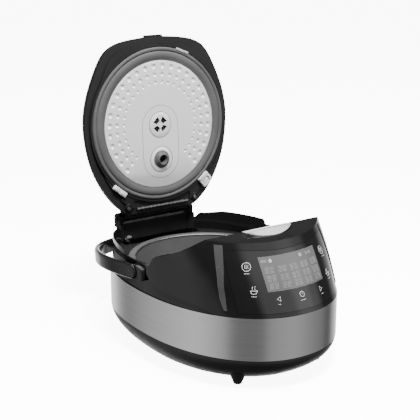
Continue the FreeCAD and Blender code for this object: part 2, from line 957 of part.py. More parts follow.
def at_clip(shape, side):
    """From a piece drawn along +X of the pot's axis to the place of one clip."""
    turned = shape.copy()
    turned.rotate(Vector(0, 0, 0), Vector(0, 0, 1), clip_angle)
    turned.translate(Vector(0, pot_y, 0))
    return turned if side > 0 else mirrored(turned)


def vent_slots(z0, z1):
    """Four slots on a ring, set on the diagonals."""
    slots = []
    for angle in (45, 135, 225, 315):
        slot = box(slot_ring - 2.6, slot_ring + 2.6, -4.2, 4.2, z0, z1)
        slot.rotate(Vector(0, 0, 0), Vector(0, 0, 1), angle)
        slot.translate(Vector(0, vent_y, 0))
        slots.append(slot)
    return slots


def make_lid_frame():
    plate = lid_slab(-0.5, lid_face, lid_face + lid_plate)
    platform = lid_slab(-platform_inset, platform_low, lid_face)
    recess = disc(gasket_outer + 0.8, 0, pot_y, 100, lid_face)
    rim = ring(gasket_outer + 3.8, gasket_outer + 0.8, 0, pot_y, rim_low, lid_face)
    rib = box(-50, 50, 170.5, 173, platform_low - 1.2, lid_face)
    neck = neck_room(0)
    barrel = bar(knuckle_radius, -knuckle_half, knuckle_half, hinge_y, hinge_z)
    web = box(-knuckle_half, knuckle_half, 180, hinge_y, hinge_z - 2, 171)
    frame = joined([plate, platform.cut(recess), rim, rib, neck, barrel, web])
    frame = frame.cut(bar(pin_radius + pin_clearance, -far, far, hinge_y, hinge_z))
    for side in (-1, 1):
        room = box(clip_inner - 1, clip_outer + clip_travel + 0.6, -clip_half - 0.5, clip_half + 0.5,
                   100, lid_face)
        frame = frame.cut(at_clip(room, side))
        frame = frame.cut(disc(1.7, side * lid_screw_x, lid_screw_y, 100, far))
        frame = frame.cut(disc(3.7, side * lid_screw_x, lid_screw_y, 100, lid_face))
    for slot in vent_slots(100, 150):
        frame = frame.cut(slot)
    return frame.cut(disc(tube_radius + 0.2, 0, valve_y, 100, 160))


def make_lid_gasket():
    top = lid_face - 0.2
    outline = [(gasket_inner, plate_low + inner_plate_thick + 0.2), (gasket_inner, top)]
    outline += [(gasket_outer, top), (gasket_outer, gasket_low + 2.4), (120.5, gasket_low)]
    outline += [(113.5, gasket_low), (110.0, gasket_low + 1.3)]
    outline.append((108.5, plate_low + inner_plate_thick + 0.2))
    return revolved(outline, 0, pot_y)


def make_inner_lid_plate():
    plate = disc(gasket_inner + 2.0, 0, pot_y, plate_low, plate_low + inner_plate_thick)
    for slot in vent_slots(100, 150):
        plate = plate.cut(slot)
    return plate.cut(disc(14.2, 0, valve_y, 100, 150))


def make_vent_plate():
    plate = disc(21.0, 0, vent_y, plate_low - 0.8, plate_low)
    for slot in vent_slots(100, 150):
        plate = plate.cut(slot)
    return plate


def make_lid_heater():
    plate = disc(92.0, 0, pot_y, plate_low + inner_plate_thick + 0.5, lid_face - 0.6)
    plate = plate.cut(disc(16.0, 0, vent_y, 100, 150))
    return plate.cut(disc(17.0, 0, valve_y, 100, 150))


def make_valve_grommet():
    collar = ring(14.0, 5.0, 0, valve_y, plate_low - 3.0, lid_face - 0.2)
    return collar.fuse(ring(15.5, 5.0, 0, valve_y, plate_low + inner_plate_thick, lid_face - 0.2))


def make_steam_tube():
    return ring(tube_radius, tube_radius - 1.5, 0, valve_y, lid_face, cap_low)


def make_steam_cap():
    """A lift-out cap in the crown of the cover, with three steam slots."""
    cap = disc(valve_radius, 0, valve_y, cap_low, lid_top)
    cap = cap.cut(disc(valve_radius - 2.0, 0, valve_y, cap_low - 1, lid_top - 2.0))
    cap = cap.fuse(ring(tube_radius, tube_radius - 1.5, 0, valve_y, cap_low, lid_top - 2.0))
    for index in (-1, 0, 1):
        cap = cap.cut(box(-3.4, 3.4, valve_y + index * 4 - 1, valve_y + index * 4 + 1, 150, far))
    return max(cap.Solids, key=lambda solid: solid.Volume)


def make_striker_tab():
    tab = box(-tab_half, tab_half, -lid_front - tab_proud, -lid_front + 6, tab_low, tab_high)
    return tab.cut(cover_dome(0.0))


def make_clip(side):
    body = box(clip_inner, clip_outer, -clip_half, clip_half, clip_low + 1.2, lid_face - 0.3)
    corners = [edge for edge in body.Edges if is_upright(edge) and edge.BoundBox.XMin > clip_outer - 1]
    body = body.makeFillet(4.0, corners)
    lip = box(clip_inner - 1.4, clip_inner + 3, -clip_half, clip_half, clip_low, clip_low + 1.3)
    return at_clip(joined([body, lip]), side)


def make_lid_screws():
    screws = []
    for side in (-1, 1):
        head = disc(3.4, side * lid_screw_x, lid_screw_y, lid_face - 1.8, lid_face)
        shank = disc(1.5, side * lid_screw_x, lid_screw_y, lid_face, lid_face + 12)
        screws.append(joined([head, shank]))
    return screws


def build_all():
    save("base_shell", make_base_shell())
    save("feet", group(make_feet()))
    save("foot_pads", group(make_foot_pads()))
    save("base_screws", group(make_base_screws()))
    save("steel_band", make_band())
    save("inner_frame", make_inner_frame())
    save("front_housing", make_front_housing())
    save("rear_housing", make_rear_housing())
    save("pot_deck", make_pot_deck())
    save("hinge_block", make_hinge_block())
    save("hinge_pin", make_hinge_pin())
    save("lid_springs", group(make_lid_springs()))
    save("control_panel", make_control_panel())
    save("display_window", window_patch(0.15, window_thick))
    save("display_module", make_display_module())
    save("display_board", make_display_board())
    save("panel_posts", group(make_panel_posts()))
    save("latch_bracket", make_latch_bracket())
    save("release_button", make_release_button())
    save("button_spring", make_button_spring())
    save("latch_hook", make_latch_hook())
    save("inner_pot", make_inner_pot())
    save("heating_well", make_heating_well())
    save("heating_plate", make_heating_plate())
    save("heating_element", make_heating_element())
    save("plate_posts", group(make_plate_posts()))
    save("side_heater", make_side_heater())
    save("sensor_cup", make_sensor_cup())
    save("sensor_spring", make_sensor_spring())
    save("thermal_fuse", make_thermal_fuse())
    save("power_board", make_power_board())
    save("board_standoffs", group(make_board_standoffs()))
    save("relay", make_relay())
    save("transformer", make_transformer())
    save("filter_capacitor", make_capacitor())
    save("power_inlet", make_power_inlet())
    save("inlet_pins", group(inlet_pins(0.0)))
    save("carry_handle", make_handle())
    save("pivot_seats", group(make_pivot_seats()))
    save("pivot_pins", group(make_pivot_pins()))
    save_lid("lid_outer_cover", make_lid_cover())
    save_lid("lid_inner_frame", make_lid_frame())
    save_lid("lid_gasket", make_lid_gasket())
    save_lid("inner_lid_plate", make_inner_lid_plate())
    save_lid("vent_plate", make_vent_plate())
    save_lid("lid_heater", make_lid_heater())
    save_lid("valve_grommet", make_valve_grommet())
    save_lid("steam_tube", make_steam_tube())
    save_lid("steam_cap", make_steam_cap())
    save_lid("striker_tab", make_striker_tab())
    save_lid("clip_left", make_clip(-1))
    save_lid("clip_right", make_clip(1))
    save_lid("lid_screws", group(make_lid_screws()))


build_all()
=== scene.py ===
"""Rice cooker with its lid open: finishes, fine pieces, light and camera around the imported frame.

Metres throughout.  Lid pieces are drawn on the closed lid and then swung open about the hinge.
"""
import bpy
import math
from mathutils import Matrix, Vector


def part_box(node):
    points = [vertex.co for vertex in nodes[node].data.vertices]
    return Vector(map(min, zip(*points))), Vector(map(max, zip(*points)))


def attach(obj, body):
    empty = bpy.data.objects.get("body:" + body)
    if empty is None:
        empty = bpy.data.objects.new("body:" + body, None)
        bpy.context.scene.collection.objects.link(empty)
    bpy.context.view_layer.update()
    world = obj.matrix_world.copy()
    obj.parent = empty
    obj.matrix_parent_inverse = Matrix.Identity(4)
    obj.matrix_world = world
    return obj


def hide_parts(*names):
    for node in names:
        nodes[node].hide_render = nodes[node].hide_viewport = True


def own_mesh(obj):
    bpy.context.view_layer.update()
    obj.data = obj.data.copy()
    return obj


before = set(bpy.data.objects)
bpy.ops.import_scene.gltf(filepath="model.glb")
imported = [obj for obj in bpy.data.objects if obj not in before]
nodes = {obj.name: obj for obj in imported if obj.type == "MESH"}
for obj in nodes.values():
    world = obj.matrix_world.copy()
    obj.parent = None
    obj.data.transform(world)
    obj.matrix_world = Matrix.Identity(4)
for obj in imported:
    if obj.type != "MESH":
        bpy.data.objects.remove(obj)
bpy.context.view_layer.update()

# ---------------------------------------------------------------- places that several pieces share
pin_low, pin_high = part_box("hinge_pin")
HINGE_LINE = (0.0, (pin_low.y + pin_high.y) / 2, (pin_low.z + pin_high.z) / 2)
OPEN_TURN = math.radians(92.7)
ORIGIN = (0.0, 0.0, 0.0)
QUARTER = math.pi / 2
SIDES = ((-1, "left"), (1, "right"))

# the body's widest line lies this far in front of the origin
ORIGIN_BACK = 0.0176
POT_Y = 0.037 - ORIGIN_BACK

# ---------------------------------------------------------------- finishes


def new_finish(name, colour, roughness, metallic=0.0, coat=0.0, specular=0.5):
    """A material with its even values set on the shader itself."""
    finish = bpy.data.materials.new(name)
    finish.use_nodes = True
    shader = finish.node_tree.nodes["Principled BSDF"]
    shader.inputs["Base Color"].default_value = (*colour, 1.0)
    shader.inputs["Roughness"].default_value = roughness
    shader.inputs["Metallic"].default_value = metallic
    shader.inputs["Coat Weight"].default_value = coat
    shader.inputs["Coat Roughness"].default_value = 0.05
    shader.inputs["Specular IOR Level"].default_value = specular
    return finish


def grain(finish, scale, stretch=(1.0, 1.0, 1.0), detail=4.0):
    """A noise pattern fixed to the piece, finer along an axis with a larger stretch."""
    tree = finish.node_tree
    place = tree.nodes.new("ShaderNodeTexCoord")
    mapping = tree.nodes.new("ShaderNodeMapping")
    mapping.inputs["Scale"].default_value = stretch
    noise = tree.nodes.new("ShaderNodeTexNoise")
    noise.inputs["Scale"].default_value = scale
    noise.inputs["Detail"].default_value = detail
    tree.links.new(place.outputs["Object"], mapping.inputs["Vector"])
    tree.links.new(mapping.outputs["Vector"], noise.inputs["Vector"])
    return noise.outputs["Fac"]


def vary_roughness(finish, pattern, low, high):
    tree = finish.node_tree
    spread = tree.nodes.new("ShaderNodeMapRange")
    spread.inputs["From Min"].default_value = 0.3
    spread.inputs["From Max"].default_value = 0.7
    spread.inputs["To Min"].default_value = low
    spread.inputs["To Max"].default_value = high
    tree.links.new(pattern, spread.inputs["Value"])
    tree.links.new(spread.outputs["Result"], tree.nodes["Principled BSDF"].inputs["Roughness"])


def vary_colour(finish, pattern, dark, light):
    tree = finish.node_tree
    blend = tree.nodes.new("ShaderNodeMix")
    blend.data_type = "RGBA"
    blend.inputs["A"].default_value = (*dark, 1.0)
    blend.inputs["B"].default_value = (*light, 1.0)
    spread = tree.nodes.new("ShaderNodeMapRange")
    spread.inputs["From Min"].default_value = 0.3
    spread.inputs["From Max"].default_value = 0.7
    tree.links.new(pattern, spread.inputs["Value"])
    tree.links.new(spread.outputs["Result"], blend.inputs["Factor"])
    tree.links.new(blend.outputs["Result"], tree.nodes["Principled BSDF"].inputs["Base Color"])


def add_bump(finish, pattern, depth, strength=1.0):
    tree = finish.node_tree
    bump = tree.nodes.new("ShaderNodeBump")
    bump.inputs["Distance"].default_value = depth
    bump.inputs["Strength"].default_value = strength
    tree.links.new(pattern, bump.inputs["Height"])
    tree.links.new(bump.outputs["Normal"], tree.nodes["Principled BSDF"].inputs["Normal"])


def grey(value):
    return (value, value, value)


def moulded(name, dark, light, rough_low, rough_high, fine, depth, coat=0.0, specular=0.5):
    """Moulded plastic or rubber: fine grain, slight colour drift and uneven gloss."""
    finish = new_finish(name, grey((dark + light) / 2), (rough_low + rough_high) / 2,
                        coat=coat, specular=specular)
    vary_colour(finish, grain(finish, 18.0), grey(dark), grey(light))
    vary_roughness(finish, grain(finish, 70.0), rough_low, rough_high)
    add_bump(finish, grain(finish, fine, detail=6.0), depth)
    return finish


def brushed(name, dark, light, rough_low, rough_high, stretch, depth, scale=1.0):
    """Brushed metal: long fine scratches drawn along the axes with little stretch."""
    finish = new_finish(name, grey((dark + light) / 2), (rough_low + rough_high) / 2, metallic=1.0)
    lines = grain(finish, scale, stretch, 3.0)
    vary_colour(finish, lines, grey(dark), grey(light))
    vary_roughness(finish, lines, rough_low, rough_high)
    add_bump(finish, lines, depth, 0.5)
    return finish


def turned_grain(finish, amount):
    """Stretches the gloss across a grain that runs round the upright axis."""
    tree = finish.node_tree
    shader = tree.nodes["Principled BSDF"]
    shader.inputs["Anisotropic"].default_value = amount
    around = tree.nodes.new("ShaderNodeTangent")
    around.direction_type = "RADIAL"
    around.axis = "Z"
    tree.links.new(around.outputs["Tangent"], shader.inputs["Tangent"])


satin_base = moulded("satin_base_plastic", 0.010, 0.014, 0.38, 0.5, 900.0, 0.00006, specular=0.35)
rubber = moulded("foot_rubber", 0.010, 0.018, 0.7, 0.85, 700.0, 0.0001)
band_steel = brushed("brushed_band_steel", 0.47, 0.53, 0.17, 0.22, (5.0, 5.0, 2600.0), 0.000004)
turned_grain(band_steel, 0.8)
gloss_black = moulded("gloss_black_housing", 0.003, 0.005, 0.05, 0.10, 60.0, 0.00001, specular=0.34)
panel_black = moulded("gloss_black_panel", 0.003, 0.005, 0.04, 0.08, 45.0, 0.00001, specular=0.5)
display_grey = moulded("display_glass", 0.045, 0.055, 0.06, 0.1, 400.0, 0.00001, specular=0.4)
matte_black = moulded("black_moulding", 0.004, 0.007, 0.42, 0.58, 800.0, 0.00008, specular=0.2)
lid_grey = moulded("lid_frame_moulding", 0.006, 0.009, 0.3, 0.42, 850.0, 0.00006, specular=0.25)
chrome = moulded("bright_button_plating", 0.80, 0.88, 0.10, 0.16, 120.0, 0.00001)
chrome.node_tree.nodes["Principled BSDF"].inputs["Metallic"].default_value = 1.0
zinc = brushed("zinc_plated_steel", 0.45, 0.60, 0.25, 0.4, (300.0, 40.0, 40.0), 0.00003)
blued_steel = brushed("blued_spring_steel", 0.02, 0.035, 0.35, 0.5, (300.0, 40.0, 40.0), 0.00003)
well_steel = brushed("well_galvanised_steel", 0.22, 0.30, 0.4, 0.55, (8.0, 8.0, 500.0), 0.00004)
cast_metal = brushed("cast_heating_plate", 0.35, 0.5, 0.45, 0.6, (250.0, 250.0, 250.0), 0.0001)
sheath = brushed("element_sheath", 0.12, 0.2, 0.4, 0.55, (200.0, 200.0, 200.0), 0.00005)
pot_coating = moulded("pot_coating", 0.035, 0.05, 0.30, 0.42, 1500.0, 0.00005)
lid_aluminium = brushed("lid_plate_aluminium", 0.84, 0.90, 0.30, 0.38, (420.0, 420.0, 420.0), 0.00001)
lid_aluminium.node_tree.nodes["Principled BSDF"].inputs["Metallic"].default_value = 0.72
silicone = moulded("grey_silicone", 0.038, 0.050, 0.45, 0.6, 500.0, 0.00008)
white_plastic = moulded("white_clip_plastic", 0.36, 0.42, 0.3, 0.42, 600.0, 0.00005)
circuit = moulded("circuit_board", 0.03, 0.05, 0.4, 0.5, 500.0, 0.00005)
display_cell = moulded("display_cell", 0.1, 0.14, 0.2, 0.3, 500.0, 0.00002)
foil = brushed("heater_foil", 0.6, 0.75, 0.2, 0.35, (90.0, 90.0, 90.0), 0.0003)
tube_plastic = moulded("tube_plastic", 0.3, 0.38, 0.35, 0.5, 600.0, 0.00005)
tab_grey = moulded("seal_tab_silicone", 0.20, 0.25, 0.4, 0.5, 500.0, 0.00005)
# painted shade: a dark finish for flat rings that stand in for the shade in the plate's grooves
groove_shade_grey = moulded("plate_groove_painted_shade", 0.02, 0.03, 0.5, 0.6, 500.0, 0.00002, specular=0.1)
print_white = moulded("key_print", 0.26, 0.34, 0.35, 0.45, 500.0, 0.00001)
segment_grey = moulded("display_segments", 0.10, 0.13, 0.2, 0.3, 500.0, 0.00001)
# painted highlight: lighter grey for the strips that stand in for the gloss along the nose's corner
# bevels
edge_highlight_grey = moulded("nose_edge_painted_highlight", 0.022, 0.030, 0.2, 0.3, 600.0, 0.00003)
rib_grey = moulded("neck_rib_moulding", 0.06, 0.09, 0.3, 0.4, 600.0, 0.00005)
bead_steel = brushed("pot_rim_steel", 0.5, 0.62, 0.25, 0.35, (200.0, 200.0, 200.0), 0.00002)
brass = brushed("brass", 0.5, 0.6, 0.2, 0.3, (300.0, 300.0, 300.0), 0.00003)

NODE_FINISH = {
    satin_base: ["base_shell", "feet", "power_inlet"],
    rubber: ["foot_pads"],
    band_steel: ["steel_band"],
    gloss_black: ["front_housing", "rear_housing", "carry_handle", "lid_outer_cover", "steam_cap",
                  "inner_frame"],
    panel_black: ["control_panel"],
    display_grey: ["display_window"],
    matte_black: ["pot_deck", "hinge_block", "pivot_seats", "latch_hook", "latch_bracket",
                  "panel_posts", "board_standoffs", "relay", "striker_tab"],
    lid_grey: ["lid_inner_frame"],
    chrome: ["release_button"],
    blued_steel: ["lid_springs", "hinge_pin"],
    zinc: ["base_screws", "button_spring", "sensor_spring", "lid_screws",
           "pivot_pins", "plate_posts", "thermal_fuse", "transformer"],
    well_steel: ["heating_well", "side_heater"],
    cast_metal: ["heating_plate", "sensor_cup"],
    sheath: ["heating_element"],
    pot_coating: ["inner_pot"],
    lid_aluminium: ["inner_lid_plate", "vent_plate"],
    silicone: ["lid_gasket", "valve_grommet"],
    white_plastic: ["clip_left", "clip_right"],
    circuit: ["power_board", "display_board"],
    display_cell: ["display_module"],
    foil: ["lid_heater"],
    tube_plastic: ["steam_tube", "filter_capacitor"],
    brass: ["inlet_pins"],
}
for finish, names in NODE_FINISH.items():
    for name in names:
        node = nodes[name]
        node.data.materials.clear()
        node.data.materials.append(finish)

# ---------------------------------------------------------------- ways of working


def clear_selection():
    if bpy.context.object and bpy.context.object.mode != "OBJECT":
        bpy.ops.object.mode_set(mode="OBJECT")
    bpy.ops.object.select_all(action="DESELECT")


def only(piece):
    clear_selection()
    piece.select_set(True)
    bpy.context.view_layer.objects.active = piece


def settle(piece):
    """Puts the object back at the origin and its place into its mesh."""
    only(piece)
    bpy.ops.object.transform_apply(location=True, rotation=True, scale=True)


def pick(piece, kind, test):
    """Edit mode with only the faces, edges or corners that pass the test selected."""
    only(piece)
    bpy.ops.object.mode_set(mode="EDIT")
    bpy.ops.mesh.select_mode(type=kind)
    bpy.ops.mesh.select_all(action="DESELECT")
    bpy.ops.object.mode_set(mode="OBJECT")
    mesh = piece.data
    if kind == "FACE":
        for face in mesh.polygons:
            face.select = test(face)
    elif kind == "VERT":
        for corner in mesh.vertices:
            corner.select = test(corner.co)
    else:
        for edge in mesh.edges:
            ends = [mesh.vertices[i].co for i in edge.vertices]
            edge.select = test(ends[0]) and test(ends[1])
    bpy.ops.object.mode_set(mode="EDIT")


def done():
    bpy.ops.object.mode_set(mode="OBJECT")


def apply_modifier(piece, kind, **settings):
    only(piece)
    modifier = piece.modifiers.new(kind.lower(), kind)
    for key, value in settings.items():
        setattr(modifier, key, value)
    bpy.ops.object.modifier_apply(modifier=modifier.name)


def soften(piece, width, angle=35.0, segments=2):
    apply_modifier(piece, "BEVEL", width=width, segments=segments, limit_method="ANGLE",
                   angle_limit=math.radians(angle), harden_normals=False)


def carve(piece, tool):
    apply_modifier(piece, "BOOLEAN", operation="DIFFERENCE", object=tool, solver="EXACT")
    bpy.data.objects.remove(tool)


def drum(radius, low, high, x, y, sides=64):
    """A round blank standing upright."""
    clear_selection()
    bpy.ops.mesh.primitive_cylinder_add(vertices=sides, radius=radius, depth=high - low,
                                        location=(x, y, (low + high) / 2))
    piece = bpy.context.object
    settle(piece)
    return piece


def brick(x0, x1, y0, y1, z0, z1):
    """A square blank between two corners."""
    clear_selection()
    middle = ((x0 + x1) / 2, (y0 + y1) / 2, (z0 + z1) / 2)
    bpy.ops.mesh.primitive_cube_add(size=1.0, location=middle)
    piece = bpy.context.object
    piece.scale = (x1 - x0, y1 - y0, z1 - z0)
    settle(piece)
    return piece


def join(pieces):
    clear_selection()
    for piece in pieces:
        piece.select_set(True)
    bpy.context.view_layer.objects.active = pieces[0]
    if len(pieces) > 1:
        bpy.ops.object.join()
    return pieces[0]


def turned_ring(outline, x, y, steps=128):
    """A closed outline of radius and height, spun about the upright line through x, y."""
    clear_selection()
    bpy.ops.mesh.primitive_circle_add(vertices=len(outline), radius=1.0)
    piece = bpy.context.object
    for corner, (radius, height) in zip(piece.data.vertices, outline):
        corner.co = (x + radius, y, height)
    bpy.ops.object.mode_set(mode="EDIT")
    bpy.ops.mesh.select_all(action="SELECT")
    bpy.ops.mesh.spin(steps=steps, angle=math.tau, center=(x, y, 0.0), axis=(0.0, 0.0, 1.0))
    bpy.ops.mesh.select_all(action="SELECT")
    bpy.ops.mesh.remove_doubles(threshold=0.000005)
    bpy.ops.mesh.normals_make_consistent(inside=False)
    done()
    return piece


def turn_mesh(piece, angle, axis, centre=ORIGIN, shift=ORIGIN):
    """Turns all of a piece's mesh about an axis through a point, then moves it."""
    pick(piece, "VERT", lambda co: True)
    bpy.ops.transform.rotate(value=angle, orient_axis=axis, center_override=centre)
    bpy.ops.transform.translate(value=shift)
    done()
    return piece


def lid_opened(piece):
    """Turns a piece made on the closed lid up to the open lid."""
    return turn_mesh(piece, OPEN_TURN, "X", HINGE_LINE)


def finish_piece(piece, name, body, finish, angle=35.0):
    piece.name = name
    piece.data.name = name
    piece.data.materials.clear()
    piece.data.materials.append(finish)
    only(piece)
    bpy.ops.object.shade_smooth_by_angle(angle=math.radians(angle))
    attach(piece, body)
    return piece


# ---------------------------------------------------------------- lid: plate, gasket, grommet
VENT_Y = 0.038 - ORIGIN_BACK
VALVE_Y = 0.095 - ORIGIN_BACK
PLATE_LOW = 0.1346
PLATE_HIGH = 0.1370
PLATE_RADIUS = 0.1072
DISC_RADIUS = 0.0206
DISC_PROUD = 0.0006
STEAM_HOLE_RADIUS = 0.0060

# dimples: radius of the row, radius of a dimple, its depth
DIMPLE_ROWS = ((0.0945, 0.0044, 0.0021), (0.081, 0.0037, 0.0019), (0.0685, 0.0029, 0.0016))
DIMPLES_IN_ROW = 28
DIMPLE_PITCH = 10.1


def dimple_tool(radius, deep, x, y):
    """A shallow round cap that presses one drip dimple into the plate."""
    ball = (radius * radius + deep * deep) / (2 * deep)
    clear_selection()
    bpy.ops.mesh.primitive_uv_sphere_add(segments=24, ring_count=48, radius=ball,
                                         location=(x, y, PLATE_LOW - ball + deep))
    cap = bpy.context.object
    settle(cap)
    pick(cap, "VERT", lambda co: True)
    bpy.ops.mesh.bisect(plane_co=(x, y, PLATE_LOW - DISC_PROUD), plane_no=(0.0, 0.0, 1.0),
                        clear_inner=True, use_fill=True)
    done()
    return cap


def steam_slot(turn):
    """A wedge with round corners that cuts one steam slot, turned so many degrees."""
    tool = brick(0.0045, 0.0128, -0.0062, 0.0062, PLATE_LOW - 0.003, PLATE_HIGH + 0.002)
    pick(tool, "VERT", lambda co: co.x < 0.006)
    bpy.ops.transform.resize(value=(1.0, 0.62, 1.0), center_override=ORIGIN)
    done()
    pick(tool, "EDGE", lambda co: False)
    done()
    for edge in tool.data.edges:
        ends = [tool.data.vertices[i].co for i in edge.vertices]
        upright = abs(ends[0].z - ends[1].z) > 0.001
        edge.select = upright
    bpy.ops.object.mode_set(mode="EDIT")
    bpy.ops.mesh.bevel(offset=0.0011, segments=4, affect="EDGES")
    done()
    return turn_mesh(tool, math.radians(turn), "Z", shift=(0.0, VENT_Y, 0.0))


def make_lid_plate():
    """Pressed plate with three arcs of dimples, steam slots and a grommet hole."""
    plate = drum(PLATE_RADIUS, PLATE_LOW, PLATE_HIGH, 0.0, POT_Y, 160)
    soften(plate, 0.0005)
    caps = []
    for row_radius, size, deep in DIMPLE_ROWS:
        for step in range(DIMPLES_IN_ROW):
            angle = math.radians(-90.0 + (step - (DIMPLES_IN_ROW - 1) / 2) * DIMPLE_PITCH)
            caps.append(dimple_tool(size, deep, row_radius * math.cos(angle),
                                    POT_Y + row_radius * math.sin(angle)))
    carve(plate, join(caps))
    vent_disc, valve_disc = [drum(DISC_RADIUS, PLATE_LOW - DISC_PROUD, PLATE_LOW + 0.0004, 0.0, y, 72)
                             for y in (VENT_Y, VALVE_Y)]
    for disc in (vent_disc, valve_disc):
        soften(disc, 0.00035)
    for part in (plate, vent_disc):
        carve(part, join([steam_slot(turn) for turn in (45, 135, 225, 315)]))
    for part in (plate, valve_disc):
        carve(part, drum(STEAM_HOLE_RADIUS, PLATE_LOW - 0.004, PLATE_HIGH + 0.004, 0.0, VALVE_Y, 48))
    whole = lid_opened(join([plate, vent_disc, valve_disc]))
    finish_piece(whole, "dimpled_lid_plate", "lid", lid_aluminium, 24.0)
    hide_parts("inner_lid_plate", "vent_plate")


def groove_shade_ring(radius, y, half):
    """A thin dark ring of painted groove shade let into the plate's face; half is half its width."""
    low, high = PLATE_LOW - 0.00010, PLATE_LOW + 0.0003
    outline = [(radius - half, low), (radius + half, low), (radius + half, high), (radius - half, high)]
    return turned_ring(outline, 0.0, y, 96)


def make_groove_shade_lines():
    """Dark lines round the discs and the long insert of the plate: painted shade standing in for the
    grooves there.
    """
    low_y = 0.0404 - ORIGIN_BACK
    insert_length = 0.0513
    insert = groove_shade_ring(0.0343, low_y, 0.00028)
    pick(insert, "VERT", lambda co: co.y > low_y + 0.0002)
    bpy.ops.transform.translate(value=(0.0, insert_length, 0.0))
    done()
    lines = [insert, groove_shade_ring(0.0211, VENT_Y, 0.0004), groove_shade_ring(0.0211, VALVE_Y, 0.0005)]
    whole = lid_opened(join(lines))
    finish_piece(whole, "plate_groove_shade_lines", "lid", groove_shade_grey, 40.0)


def make_vent_shade():
    """Dark disc behind the steam slots: painted shade seen through them."""
    shade = drum(0.0165, PLATE_HIGH - 0.0003, PLATE_HIGH + 0.0002, 0.0, VENT_Y, 48)
    soften(shade, 0.0001)
    lid_opened(shade)
    finish_piece(shade, "steam_slot_painted_shade", "lid", matte_black)


def make_gasket():
    """Broad soft ring with a groove and a thin outer lip."""
    inner_lip = [(0.1034, 0.1350), (0.1034, 0.1342), (0.1041, 0.1337), (0.1050, 0.1339)]
    crown = [(0.1062, 0.1334), (0.1085, 0.1326), (0.1110, 0.1322), (0.1135, 0.1322), (0.1158, 0.1327)]
    groove = [(0.1172, 0.1335), (0.1180, 0.1345), (0.1187, 0.1338)]
    outer_lip = [(0.1200, 0.1331), (0.1220, 0.1330), (0.1236, 0.1336), (0.1244, 0.1350)]
    seat = [(0.1244, 0.1386), (0.1074, 0.1386), (0.1074, 0.1350)]
    outline = inner_lip + crown + groove + outer_lip + seat
    ring = lid_opened(turned_ring(outline, 0.0, POT_Y, 160))
    finish_piece(ring, "lid_seal", "lid", silicone, 50.0)
    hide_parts("lid_gasket")


def make_seal_tab():
    """Small pull tab on the outer lip of the seal."""
    tab = brick(-0.0125, 0.0125, -0.1262, -0.1226, 0.1322, 0.1340)
    soften(tab, 0.0007, 30.0, 3)
    turn_mesh(tab, math.radians(-22.0), "Z", shift=(0.0, POT_Y, 0.0))
    finish_piece(lid_opened(tab), "seal_pull_tab", "lid", tab_grey)


def make_grommet():
    """Soft steam nozzle standing out from the plate."""
    face = PLATE_LOW - DISC_PROUD
    bore = [(0.0056, face + 0.006), (0.0060, face - 0.0010)]
    mouth = [(0.0071, face - 0.0058), (0.0078, face - 0.0064), (0.0086, face - 0.0063)]
    cone = [(0.0094, face - 0.0054), (0.0112, face - 0.0024), (0.0134, face - 0.0006)]
    flange = [(0.0147, face - 0.0003), (0.0150, face + 0.0006), (0.0148, face + 0.0016)]
    outline = bore + mouth + cone + flange + [(0.0090, face + 0.006)]
    grommet = lid_opened(turned_ring(outline, 0.0, VALVE_Y, 64))
    finish_piece(grommet, "steam_grommet", "lid", silicone, 50.0)
    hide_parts("valve_grommet")


make_lid_plate()
make_groove_shade_lines()
make_vent_shade()
make_gasket()
make_seal_tab()
make_grommet()

# ---------------------------------------------------------------- control panel marks


def on_skin(names, x, z):
    """Where a straight line from the front meets the skin, and the skin's outward direction."""
    best = None
    for name in names:
        skin = nodes[name]
        hit, place, normal, _ = skin.ray_cast(Vector((x, -1.0, z)), Vector((0.0, 1.0, 0.0)))
        if hit and (best is None or place.y < best[0].y):
            best = (place.copy(), normal.copy())
    return best


MARK_THICK = 0.0003


def flat_bar(width, tall, x=0.0, y=0.0, turn=0.0):
    clear_selection()
    bpy.ops.mesh.primitive_cube_add(size=1.0, location=(x, y, 0.0), rotation=(0.0, 0.0, turn))
    bar = bpy.context.object
    bar.scale = (width, tall, MARK_THICK)
    settle(bar)
    soften(bar, 0.00008, segments=1)
    return bar


def flat_ring(radius, width, x=0.0, y=0.0, arc=1.0):
    """A thin ring, or the part of one that starts at the right."""
    clear_selection()
    bpy.ops.mesh.primitive_plane_add(size=1.0)
    ring = bpy.context.object
    ring.scale = (width, MARK_THICK, 1.0)
    settle(ring)
    turn_mesh(ring, QUARTER, "X", shift=(radius, 0.0, 0.0))
    pick(ring, "VERT", lambda co: True)
    bpy.ops.mesh.spin(steps=int(36 * arc) + 4, angle=math.tau * arc, center=ORIGIN,
                      axis=(0.0, 0.0, 1.0))
    bpy.ops.mesh.select_all(action="SELECT")
    bpy.ops.mesh.remove_doubles(threshold=0.000002)
    bpy.ops.mesh.normals_make_consistent(inside=False)
    bpy.ops.transform.translate(value=(x, y, 0.0))
    done()
    return ring


def lay_on_skin(piece, x, z, lift=0.0001):
    """Lays a mark drawn flat on the panel at x, z, its up direction running up the slope."""
    place, normal = on_skin(["control_panel", "display_window"], x, z)
    across = Vector((0.0, 0.0, 1.0)).cross(normal)
    across = -across.normalized() if across.x < 0 else across.normalized()
    rise = normal.cross(across).normalized()
    turn = Matrix((across, rise, normal)).transposed().to_4x4()
    piece.matrix_world = Matrix.Translation(place + normal * lift) @ turn
    settle(piece)
    return piece


def mark(parts, name, x, z, finish):
    """Joins a sign's flat pieces and lays them on the panel at x, z."""
    piece = lay_on_skin(join(parts), x, z)
    finish_piece(piece, name, "body", finish)


def label_line(y, count=4, width=0.0014):
    """A short dashed line that stands for a printed word."""
    start = -(count - 1) * width * 0.7
    return [flat_bar(width, 0.0009, start + i * width * 1.4, y) for i in range(count)]


def heat_ring_mark():
    parts = [flat_ring(0.0060, 0.0007)]
    for x in (-0.0022, 0.0, 0.0022):
        for y, lean in ((-0.0014, 0.35), (0.0014, -0.35)):
            parts.append(flat_bar(0.0006, 0.0030, x, y, lean))
    return parts + label_line(-0.0095)


